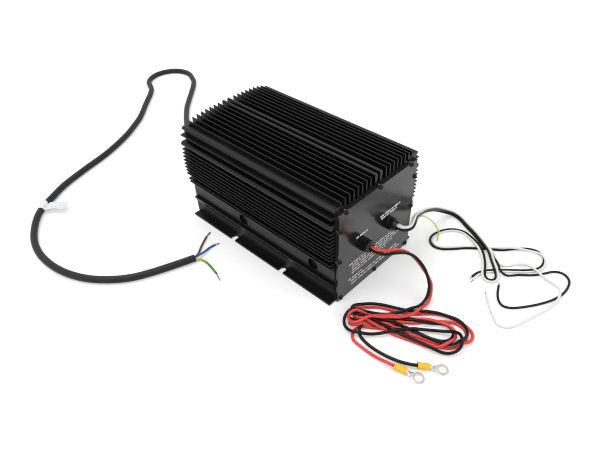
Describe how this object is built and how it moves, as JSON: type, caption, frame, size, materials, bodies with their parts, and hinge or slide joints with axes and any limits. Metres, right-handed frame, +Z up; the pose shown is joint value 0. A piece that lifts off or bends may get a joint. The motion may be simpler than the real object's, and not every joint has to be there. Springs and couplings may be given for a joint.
{
  "type": "battery charger",
  "caption": "Sealed battery charger in a black finned aluminium housing with flanged base, mains cable, two output leads with ring terminals and thin signal wires.",
  "frame": {"origin": "on the floor under the middle of the housing", "axes": "+Z up, +Y along the extrusions towards the mains cable's end, +X across the end plates, to the right as seen from the lead end"},
  "size_m": [0.4958, 0.9283, 0.1585],
  "materials": {
    "black_anodised": "black anodised extrusion, satin",
    "plate_paint": "dark grey satin coat",
    "gasket_rubber": "matte black",
    "black_steel": "black oxide steel, satin",
    "bare_aluminium": "milled",
    "device_plastic": "matte black",
    "board_laminate": "green laminate",
    "brass_standoff": "turned",
    "zinc_steel": "zinc plated",
    "core_iron": "dark ferrite",
    "copper_winding": "enamelled copper wire",
    "capacitor_sleeve": "dark blue sleeve",
    "relay_case": "blue case",
    "fuse_ceramic": "off-white ceramic",
    "terminal_plastic": "green",
    "grip_plastic": "moulded black nylon",
    "cable_jacket": "matte dark grey jacket",
    "tag_paper": "coated white label",
    "brown_insulation": "brown PVC",
    "blue_insulation": "blue PVC",
    "earth_insulation": "green and yellow PVC",
    "copper_strands": "bare copper strands",
    "red_insulation": "red PVC",
    "black_insulation": "black PVC",
    "white_insulation": "white PVC",
    "yellow_insulation": "pale yellow PVC",
    "sleeve_yellow": "yellow crimp sleeve",
    "tinned_metal": "tin plated copper"
  },
  "bodies": {
    "root": {"finned_cover": "black_anodised", "base_tray": "black_anodised", "front_plate": "plate_paint", "rear_plate": "plate_paint", "front_gasket": "gasket_rubber", "rear_gasket": "gasket_rubber", "front_screws": "black_steel", "rear_screws": "black_steel", "pocket_screws": "black_steel", "left_heat_bar": "bare_aluminium", "right_heat_bar": "bare_aluminium", "circuit_board": "board_laminate", "board_standoffs": "brass_standoff", "board_screws": "zinc_steel", "transformer_core": "core_iron", "transformer_winding": "copper_winding", "output_choke_core": "core_iron", "output_choke_winding": "copper_winding", "filter_choke": "core_iron", "bulk_capacitors": "capacitor_sleeve", "switching_transistors": "device_plastic", "rectifier_diodes": "device_plastic", "relay": "relay_case", "fuse": "fuse_ceramic", "input_terminals": "terminal_plastic", "output_terminals": "terminal_plastic", "output_grip": "grip_plastic", "output_grip_nut": "grip_plastic", "output_seal": "gasket_rubber", "output_lock_nut": "grip_plastic", "signal_grip": "grip_plastic", "signal_grip_nut": "grip_plastic", "signal_seal": "gasket_rubber", "signal_lock_nut": "grip_plastic", "mains_grip": "grip_plastic", "mains_grip_nut": "grip_plastic", "mains_seal": "gasket_rubber", "mains_lock_nut": "grip_plastic", "mains_cable": "cable_jacket", "mains_tag": "tag_paper", "live_conductor": "brown_insulation", "neutral_conductor": "blue_insulation", "earth_conductor": "earth_insulation", "stripped_ends": "copper_strands", "red_lead": "red_insulation", "black_lead": "black_insulation", "lead_hank": "red_insulation", "red_lead_tail": "red_insulation", "black_lead_tail": "black_insulation", "red_terminal": "tinned_metal", "red_terminal_sleeve": "sleeve_yellow", "black_terminal": "tinned_metal", "black_terminal_sleeve": "sleeve_yellow", "black_signal_wire_a": "black_insulation", "black_signal_wire_b": "black_insulation", "white_signal_wire_a": "white_insulation", "white_signal_wire_b": "white_insulation", "sensing_wire": "yellow_insulation", "wire_tips": "tinned_metal"}
  },
  "joints": []
}
